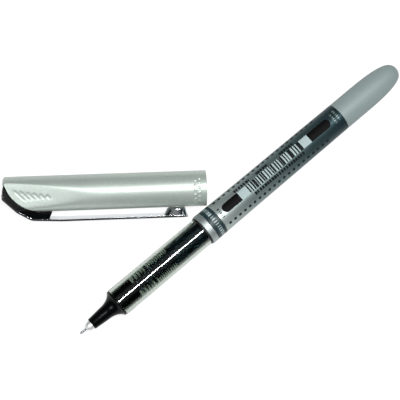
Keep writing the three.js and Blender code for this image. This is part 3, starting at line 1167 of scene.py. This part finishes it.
@dataclass
class RearBarrel:
    """The seal, the trim ring, the label band, the printed ink tank and the tail plug."""

    where: Placement
    inner_r: float = 4.11
    ring_start: float = 49.5
    band_start: float = 51.65
    start: float = 55.1
    end: float = 105.72
    front_r: float = 5.02
    rear_r: float = 4.63
    length: float = 130.0
    round_start: float = 113.0
    plug_start: float = 98.0
    plug_r: float = 3.84
    plug_bore_r: float = 3.1
    plug_bore_end: float = 118.0

    def collar(
        self, name: str, x: tuple[float, float], front_r: float, rear_r: float, edge: float
    ) -> bpy.types.Object:
        """Makes a ring with rounded edges.

        Args:
            name: the piece's name.
            x: where the ring starts and ends.
            front_r: radius at its front.
            rear_r: radius at its rear.
            edge: rounding of its edges.

        Returns:
            The ring.
        """
        outline = rounded(
            [
                (x[0], self.inner_r, 0),
                (x[0], front_r, edge),
                (x[1], rear_r, edge),
                (x[1], self.inner_r, 0),
                (x[0] + 0.2, self.inner_r, 0),
            ]
        )
        return loft(name, revolved(outline, 160), self.where, Ends.LOOP)

    def tank(self) -> bpy.types.Object:
        """Makes the tank: a tube that narrows gently from the band to the tail.

        Returns:
            The tank.
        """
        outline = rounded(
            [
                (self.start, self.inner_r, 0),
                (self.start, self.front_r, 0.06),
                (68.0, 4.88, 3.0),
                (85.0, 4.78, 3.0),
                (self.end, self.rear_r, 0.1),
                (self.end, 3.9, 0),
                (58.28, 3.9, 0),
                (58.28, self.inner_r, 0),
            ]
        )
        return loft("tank_printed", revolved(outline, 192), self.where, Ends.LOOP)

    def tail(self) -> bpy.types.Object:
        """Makes the tail plug.

        Its rounded end has the radius R (1 - u^2.8)^0.3, where u runs from 0 where it begins to
        narrow to just under 1 at the small flat face.

        Returns:
            The tail plug.
        """
        body_r = self.rear_r - 0.03
        u = 0.989 * np.sin(np.linspace(0, math.pi / 2, 40))
        reach = self.length - self.round_start
        dome = np.stack([self.round_start + u * reach, body_r * (1 - u**2.8) ** 0.3], axis=-1)
        front = rounded(
            [
                (self.plug_bore_end, self.plug_bore_r, 0),
                (self.plug_start, self.plug_bore_r, 0),
                (self.plug_start, self.plug_r, 0),
                (self.end + 0.08, self.plug_r, 0),
                (self.end + 0.08, body_r, 0.1),
                (self.round_start, body_r, 0),
            ]
        )
        inside = np.array([[121.0, 0.05], [121.0, 1.6]])
        end = rounded([(129.9, 1.56, 0), (self.length, 1.4, 0.1), (self.length, 0.05, 0)])
        profile = np.concatenate([inside, front[:-1], dome, end])
        return loft("tail_plug_moulded", revolved(profile, 160), self.where)

    def build(self) -> None:
        """Makes and dresses the five pieces."""
        seal = self.collar("seal_ring_moulded", (48.93, 49.42), 4.86, 4.94, 0.12)
        trim = self.collar("trim_ring_turned", (self.ring_start, 51.57), 5.15, 5.15, 0.2)
        band = self.collar("label_band_printed", (self.band_start, 55.02), 5.05, 5.05, 0.08)
        finish_piece(seal, BLACK_RUBBER.build(), Body.PEN, "rubber", "seal_ring")
        finish_piece(trim, TRIM_METAL.build(), Body.PEN, "trim_metal", "trim_ring")
        finish_piece(band, BAND_ABS.build(), Body.PEN, "dark_plastic", "label_band")
        finish_piece(self.tank(), TANK.build(), Body.PEN, "printed_plastic", "rear_barrel")
        finish_piece(self.tail(), TAIL_PP.build(), Body.PEN, "tail_plastic", "tail_plug")


# ---- The cap ------------------------------------------------------------------------------------


@dataclass
class Cap:
    """The pearl shell with its flats and grooves, the black end block and the inner cap."""

    where: Placement
    length: float = 63.2
    radius: float = 5.55
    start: float = 0.5
    corner_r: float = 1.1
    flat_h: float = 3.2
    flat_slope: float = 0.091
    bore_r: float = 4.85
    mouth_r: float = 5.05
    chamber_r: float = 3.6
    cut_x: float = 16.0
    cut_y: float = 5.5
    cut_rx: float = 15.0
    cut_ry: float = 11.1
    cut_top: float = 3.57
    grooves: int = 6
    groove_depth: float = 0.16
    groove_width: float = 0.46
    groove_slant: float = -45.0
    pip_columns: tuple[float, float] = (59.6, 60.9)
    pips: int = 6
    pip_turn: float = 16.0
    pip_length: float = 0.58
    pip_width: float = 0.5
    pip_height: float = 0.18

    def outer_radius(self, x: np.ndarray, a: np.ndarray) -> np.ndarray:
        """Works out the shell's outside.

        The radius is the smaller of the round body's and the flat's, h / |cos a|, joined by a
        high power mean so that the edge between them is slightly rounded. Both shrink by the
        same quarter circle at the closed end.

        Args:
            x: places along the cap.
            a: angles round it, 0 at +z.

        Returns:
            The radius at each place.
        """
        back = np.clip(self.start + self.corner_r - x, 0, self.corner_r)
        shrink = self.corner_r - np.sqrt(self.corner_r**2 - back**2)
        flat = (self.flat_h + self.flat_slope * x - 0.7 * shrink) / np.maximum(np.abs(np.cos(a)), 1e-3)
        power = 26
        return ((self.radius - shrink) ** -power + flat**-power) ** (-1 / power)

    def cut(self, y: np.ndarray) -> np.ndarray:
        """Works out the curved cut: most of a quarter ellipse, then the flat end face.

        Args:
            y: places across the cap.

        Returns:
            The cut's x at each place.
        """
        up = np.clip((self.cut_y - y) / self.cut_ry, 0, 1)
        curve = self.cut_x - self.cut_rx * np.sqrt(1 - up**2)
        t = np.clip((self.cut_top + 0.1 - y) / 0.3, 0, 1)
        return self.start + (curve - self.start) * t * t * (3 - 2 * t)

    def groove_field(self, x: np.ndarray, y: np.ndarray) -> np.ndarray:
        """Returns the grooves' depth on a flat, from 0 to 1.

        Each groove is a slanted line with a bell-shaped section that fades at both ends, and each
        is shorter than the one before it.

        Args:
            x: places along the cap.
            y: places across it.

        Returns:
            The grooves' depth at each place.
        """
        slant = math.radians(self.groove_slant)
        ux, uy = math.cos(slant), math.sin(slant)
        depth = np.zeros_like(x)
        for i in range(self.grooves):
            cx, cy, half = 5.7 + 1.77 * i, 0.3 - 0.1 * i, 2.3 - 0.3 * i
            along = (x - cx) * ux + (y - cy) * uy
            across = -(x - cx) * uy + (y - cy) * ux
            depth += np.exp(-((across / self.groove_width) ** 2)) / (1 + (along / half) ** 8)
        return depth

    def shell(self) -> bpy.types.Object:
        """Makes the shell as one row of rings: the cut, the outside, the mouth and the bore.

        Returns:
            The cap shell.
        """
        sides = 320
        a = angles(sides)
        x0 = np.full(sides, 3.0)
        for _ in range(60):
            target = self.cut(self.outer_radius(x0, a) * np.sin(a))
            x0 = 0.5 * x0 + 0.5 * target
        rim = self.outer_radius(x0, a)
        f = np.linspace(0.02, 1, 16)[:, None]
        y, z = f * rim * np.sin(a), f * rim * np.cos(a)
        face = np.stack([self.cut(y), y, z], axis=-1)
        face[-1, :, 0] = x0
        t = np.concatenate([np.linspace(0.0008, 0.25, 140), np.linspace(0.26, 1, 40)])[:, None]
        x = x0 + t * (self.length - 0.2 - x0)
        r = self.outer_radius(x, a)
        y, z = r * np.sin(a), r * np.cos(a)
        on_flat = np.clip((self.radius - r - 0.06) / 0.12, 0, 1)
        z = z - np.sign(z) * self.groove_depth * self.groove_field(x, y) * on_flat
        outside = np.stack([x, y, z], axis=-1)
        bore = rounded(
            [
                (self.length - 0.2, self.radius, 0),
                (self.length, self.radius, 0.18),
                (self.length, self.mouth_r, 0.12),
                (self.length - 0.9, self.mouth_r, 0.1),
                (self.length - 1.1, self.bore_r, 0.1),
                (26.4, self.bore_r, 0.6),
                (24.0, self.chamber_r, 0.6),
                (12.2, self.chamber_r, 0.2),
                (12.2, 0.1, 0),
            ]
        )
        rings = np.concatenate([face, outside[:-1], revolved(bore, sides)])
        return loft("cap_shell_moulded", rings, self.where, sharp=50)

    def block(self) -> bpy.types.Object:
        """Makes the end block as loops that follow it from the end face round to its rear.

        Each loop runs from the cut across to the clip's seat on one side and back on the other.
        Its half width is the round body's, limited by the flats, and never less than the fin's.

        Returns:
            The end block.
        """
        stations, across, edge, fin = 110, 18, 0.16, 2.25
        seat = rounded(
            [
                (0.75, 3.5, 0),
                (0.35, 1.9, 0.8),
                (0.35, 0.56, 0.1),
                (0.72, 0.5, 0.1),
                (0.72, -0.72, 0.3),
                (4.88, -4.77, 0.6),
                (9.1, -7.36, 0.6),
                (14.4, -7.64, 0),
            ]
        )
        run = np.concatenate([[0], np.cumsum(np.hypot(*np.diff(seat, axis=0).T))])
        s = np.linspace(0, 1, stations)
        outer = np.stack([np.interp(s * run[-1], run, seat[:, k]) for k in (0, 1)], axis=-1)
        t = np.radians(190 + (270 - 190) * s)
        shift = 0.12
        inner = np.stack(
            [
                self.cut_x + (self.cut_rx + shift) * np.cos(t),
                self.cut_y + (self.cut_ry + shift) * np.sin(t),
            ],
            axis=-1,
        )
        inner[:, 0] = np.minimum(inner[:, 0], 15.35)
        q = np.linspace(0, 1, across)[None, :, None]
        q = 0.5 - 0.5 * np.cos(math.pi * q)
        flat = inner[:, None] * (1 - q) + outer[:, None] * q
        x, y = flat[..., 0], flat[..., 1]
        body_r = self.radius - 0.08
        body = np.sqrt(np.maximum(body_r**2 - y**2, 0))
        half = np.maximum(np.minimum(body, self.flat_h - 0.1 + self.flat_slope * x), fin)
        gap = np.hypot(*(outer - inner).T)[:, None]
        rim = np.minimum(q[..., 0], 1 - q[..., 0]) * gap
        dip = np.clip(edge - rim, 0, edge)
        half = half - (edge - np.sqrt(edge**2 - dip**2))
        front = np.stack([x, y, half], axis=-1)
        back = np.stack([x, y, -half], axis=-1)[:, ::-1]
        rings = np.concatenate([front, back], axis=1)[:, ::-1]
        return loft("end_block_moulded", rings, self.where, sharp=50)

    def inner_cap(self) -> bpy.types.Object:
        """Makes the inner cap: a cup with a chamfered mouth.

        Returns:
            The inner cap.
        """
        outline = rounded(
            [
                (12.35, 0.05, 0),
                (12.35, 3.5, 0.3),
                (26.2, 3.5, 0.1),
                (26.2, 3.3, 0.1),
                (25.4, 2.98, 0.2),
                (13.2, 2.98, 0.3),
                (13.2, 0.05, 0),
            ]
        )
        return loft("inner_cap_moulded", revolved(outline, 96), self.where)

    def marks(self) -> bpy.types.Object:
        """Makes the raised pips near the mouth: low rounded pads in two short arcs.

        Each pad is half a super-ellipsoid that sits on the shell's round surface.

        Returns:
            The pips, as one piece.
        """
        rows, sides = 7, 20
        lift = np.linspace(0.0, 1.5, rows)[:, None]
        turn = np.linspace(0, 2 * math.pi, sides, endpoint=False)[None, :]
        points, faces = [], []
        for column, x in enumerate(self.pip_columns):
            for i in range(self.pips):
                middle = math.radians(-40 + self.pip_turn * (i + column / 2))
                dx = self.pip_length * np.cos(lift) * np.cos(turn)
                da = self.pip_width * np.cos(lift) * np.sin(turn) / self.radius
                r = self.radius - 0.05 + self.pip_height * np.sin(lift) + 0 * turn
                pad = np.stack([x + dx, r * np.sin(middle + da), r * np.cos(middle + da)], axis=-1)
                ends = np.stack([pad[0].mean(0), pad[-1].mean(0)])
                first = sum(len(p) for p in points)
                faces += [[first + k for k in f[::-1]] for f in ring_faces(rows, sides, Ends.POLES)]
                points += [pad.reshape(-1, 3), ends]
        return mesh_piece("cap_pips_moulded", self.where.place(np.concatenate(points)), faces, 50)

    def build(self) -> None:
        """Makes and dresses the four pieces."""
        pearl = PEARL_ABS.build()
        finish_piece(self.shell(), pearl, Body.CAP, "pearl_plastic", "cap_shell")
        finish_piece(self.marks(), pearl, Body.CAP, "pearl_plastic")
        finish_piece(self.block(), BLACK_ABS.build(), Body.CAP, "black_plastic", "end_block")
        finish_piece(self.inner_cap(), NATURAL_PP.build(), Body.CAP, "natural_plastic", "inner_cap")


@dataclass
class Clip:
    """The sprung clip: one strip folded over the end block, with a pressed pad near its end."""

    where: Placement
    width: float = 4.6
    thickness: float = 0.6
    outer: float = 8.5
    end: float = 57.4
    root_x: float = 15.0
    root_y: float = -8.0
    bend_from: float = -0.8
    bend_to: float = 2.2

    def strip(self) -> bpy.types.Object:
        """Makes the strip: a rounded rectangle carried along the folded path of its outer face.

        Returns:
            The strip.
        """
        bend = 0.5
        path = rounded(
            [
                (0.05, 0.5, 0),
                (0.05, -1.05, bend),
                (4.5, -5.35, bend),
                (9.0, -8.02, 2 * bend),
                (self.root_x - 1.5, -8.25, 0),
                (self.root_x + 1.5, -8.4, 0),
                (18.4, -self.outer, 1.0),
                (self.end, -self.outer, 0),
            ],
            steps=8,
        )
        run = np.concatenate([[0], np.cumsum(np.hypot(*np.diff(path, axis=0).T))])
        edge = 0.7
        ease = edge * (1 - np.cos(np.linspace(0, math.pi / 2, 8)))
        s = np.concatenate([ease, np.linspace(edge, run[-1] - edge, 220)[1:-1], run[-1] - ease[::-1]])
        middle = np.stack([np.interp(s, run, path[:, k]) for k in (0, 1)], axis=-1)
        tangent = np.gradient(middle, s, axis=0)
        tangent /= np.hypot(*tangent.T)[:, None]
        normal = np.stack([-tangent[:, 1], tangent[:, 0]], axis=-1)
        near_end = np.clip(edge - np.minimum(s, s[-1] - s), 0, edge)
        half = self.width / 2 - (edge - np.sqrt(edge**2 - near_end**2))
        aside, depth = self.section()
        flat = middle[:, None] + normal[:, None] * (self.thickness / 2 + depth)[None, :, None]
        rings = np.concatenate([flat, (half[:, None] * aside[None])[..., None]], axis=-1)
        return loft("clip_strip_pressed", rings, self.where, sharp=60)

    def section(self) -> tuple[np.ndarray, np.ndarray]:
        """Returns the strip's section: a rectangle with quarter circles at its corners.

        The section runs anticlockwise from the middle of one side. Each flat has points close to
        its ends, which keep its shading flat.

        Returns:
            Places across the width as a share of half of it, and places through the thickness.
        """
        half, thick, corner, near = self.width / 2, self.thickness / 2, 0.03, 0.02
        t = np.radians(np.linspace(0, 90, 6))
        arc = np.stack([half - corner + corner * np.cos(t), thick - corner + corner * np.sin(t)], axis=-1)
        side = np.array([[half, 0], [half, thick - corner - near]])
        top = np.array([[half - corner - near, thick], [half / 2, thick]])
        quarter = np.concatenate([side, arc, top])
        mirrored = quarter[::-1] * [-1, 1]
        upper = np.concatenate([quarter, [[0, thick]], mirrored])
        made = np.concatenate([upper, upper[1:-1][::-1] * [1, -1]])
        return made[:, 0] / half, made[:, 1]

    def pad(self) -> bpy.types.Object:
        """Makes the pad: super-ellipse rings that narrow from the arm's inner face to the shell.

        Returns:
            The pad.
        """
        base, top = -self.outer + self.thickness - 0.15, -5.72
        last = 1 - 0.15 * np.cos(np.linspace(0.2, math.pi / 2, 6))
        q = np.concatenate([np.linspace(0, 0.85, 12), last])[:, None]
        t = np.linspace(0, 2 * math.pi, 64, endpoint=False)[None, :]
        shrink = np.where(q > 0.85, np.sqrt(np.maximum(1 - ((q - 0.85) / 0.15) ** 2, 0)) * 0.25 + 0.75, 1)
        power = 2 / 2.1
        cx, hx = 53.5 + 0.45 * q, (3.8 - 1.0 * q) * shrink
        hz = (2.15 - 0.35 * q) * shrink
        x = cx + hx * np.sign(np.cos(t)) * np.abs(np.cos(t)) ** power
        z = hz * np.sign(np.sin(t)) * np.abs(np.sin(t)) ** power
        y = base + (top - base) * q + 0 * t
        return loft("clip_pad_pressed", np.stack([x, y, z], axis=-1), self.where, sharp=50)

    def build(self) -> None:
        """Makes and dresses the strip and the pad, which rides on the clip. It works out two points either
        side of the strip's root, but nothing uses them.
        """
        chrome = CHROME.build()
        strip = self.strip()
        strip.data.materials.append(chrome)
        bend = [[self.root_x + reach, self.root_y, 0.0] for reach in (self.bend_from, self.bend_to)]
        points = self.where.place(np.array(bend))
        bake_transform(strip)
        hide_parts("clip_base", "clip_arm")
        finish_piece(self.pad(), chrome, Body.CLIP, "clip_metal")


def dress_hidden_nodes() -> None:
    """Dresses the CAD nodes that stay: the ones sealed inside the pen and the cap."""
    for node, look in (
        ("feed_rod", FIBRE),
        ("tank_bulkhead", BLACK_PC),
        ("ink_charge", INK),
        ("tank_plug", NATURAL_PP),
        ("tip_seal", BLACK_RUBBER),
    ):
        made = look.build()
        for slot in frame["nodes"][node].material_slots:
            slot.material = made


# ---- Studio -------------------------------------------------------------------------------------


@dataclass
class Studio:
    """A pale floor, a lamp beside the camera, a soft surround and the camera."""

    eye: tuple[float, float, float] = (-36.2, -92.0, 506.5)
    target: tuple[float, float, float] = (-1.55, 0.37, 0.0)
    up: tuple[float, float, float] = (0.035, 0.983, 0.182)
    lens: float = 148.05
    pen_yaw: float = 37.98
    fill: float = 0.3
    dark_below: float = 0.75
    light_above: float = 0.97
    low_sky: str = "#3c4244"
    high_sky: str = "#f2f6f6"
    long_lamp: tuple[float, float, float] = (96.0, 12.0, 505.0)
    long_lamp_size: tuple[float, float] = (300.0, 80.0)
    long_lamp_power: float = 3.05
    front_lamp: tuple[float, float, float] = (-245.0, -215.0, 355.0)
    front_lamp_target: tuple[float, float, float] = (-50.0, 0.0, 0.0)
    front_lamp_size: tuple[float, float] = (130.0, 130.0)
    front_lamp_power: float = 0.72
    floor_half: float = 3000.0
    floor_level: float = -0.02
    floor_colour: str = "#7c7c7c"
    floor_glow: float = 0.9

    def aim(self, eye: Vector, target: Vector) -> Matrix:
        """Returns the matrix of something at eye that looks along its -z at target.

        Args:
            eye: where the thing stands, in metres.
            target: what it looks at, in metres.

        Returns:
            The matrix.
        """
        back = (eye - target).normalized()
        side = Vector(self.up).cross(back).normalized()
        turn = Matrix([side, back.cross(side), back]).transposed().to_4x4()
        return Matrix.Translation(eye) @ turn

    def camera(self) -> None:
        """Makes the camera and gives it to the scene."""
        data = bpy.data.cameras.new("camera")
        data.lens = self.lens
        data.clip_start, data.clip_end = 0.01, 20
        made = bpy.data.objects.new("camera", data)
        made.matrix_world = self.aim(Vector(self.eye) * MM, Vector(self.target) * MM)
        bpy.context.scene.collection.objects.link(made)
        bpy.context.scene.camera = made

    def lamp(self, name: str, matrix: Matrix, size: tuple[float, float], power: float) -> None:
        """Hangs a soft rectangular lamp.

        Args:
            name: the lamp's name.
            matrix: its place and turn. It shines along its own -z.
            size: its length and width, in millimetres.
            power: in watts.
        """
        data = bpy.data.lights.new(name, "AREA")
        data.shape = "RECTANGLE"
        data.size, data.size_y = (side * MM for side in size)
        data.energy = power
        made = bpy.data.objects.new(name, data)
        made.matrix_world = matrix
        bpy.context.scene.collection.objects.link(made)

    def lamps(self) -> None:
        """Hangs a long lamp over the pen and in line with it, and a small one low at the front."""
        turn = Matrix.Rotation(math.radians(self.pen_yaw), 4, "Z")
        over = Matrix.Translation(Vector(self.long_lamp) * MM) @ turn
        self.lamp("long_lamp", over, self.long_lamp_size, self.long_lamp_power)
        front = self.aim(Vector(self.front_lamp) * MM, Vector(self.front_lamp_target) * MM)
        self.lamp("front_lamp", front, self.front_lamp_size, self.front_lamp_power)

    def floor(self) -> None:
        """Lays the pale floor just under the pen."""
        corners = np.array([[-1, -1], [1, -1], [1, 1], [-1, 1]]) * self.floor_half
        points = np.column_stack([corners, np.full(4, self.floor_level)]) * MM
        piece = mesh_piece("floor", points, [[0, 1, 2, 3]], 30)
        sheet = Backlit("White acrylic sheet, lit from behind", self.floor_colour, self.floor_glow)
        piece.data.materials.append(sheet.build())

    def surround(self) -> None:
        """Sets the soft surround: light overhead, and darker towards the horizon."""
        world = bpy.data.worlds.new("surround")
        world.use_nodes = True
        tree = world.node_tree
        tree.nodes.clear()
        up = add(tree, "SeparateXYZ", {0: add(tree, "TexCoord").outputs["Generated"]}).outputs[2]
        ramp = add(tree, "ValToRGB", {0: up})
        ramp.color_ramp.elements[0].position = self.dark_below
        ramp.color_ramp.elements[0].color = linear(self.low_sky)
        ramp.color_ramp.elements[1].position = self.light_above
        ramp.color_ramp.elements[1].color = linear(self.high_sky)
        background = add(tree, "Background", {"Color": ramp, "Strength": self.fill})
        add(tree, "OutputWorld", {"Surface": background})
        bpy.context.scene.world = world

    def build(self) -> None:
        """Sets up the whole studio."""
        self.camera()
        self.lamps()
        self.floor()
        self.surround()
        bpy.context.scene.view_settings.view_transform = "Standard"


def main() -> None:
    """Builds the pen, the cap and the studio."""
    logging.basicConfig(level=logging.INFO, format="%(name)s: %(message)s")
    Studio().build()
    point = WritingPoint(pen_placement(WritingPoint.ball_r))
    point.build()
    GripSection(point.where).build()
    RearBarrel(point.where).build()
    cap_frame = cap_placement((Clip.root_x, Clip.root_y))
    Cap(cap_frame).build()
    Clip(cap_frame).build()
    dress_hidden_nodes()


if __name__ == "__main__":
    main()
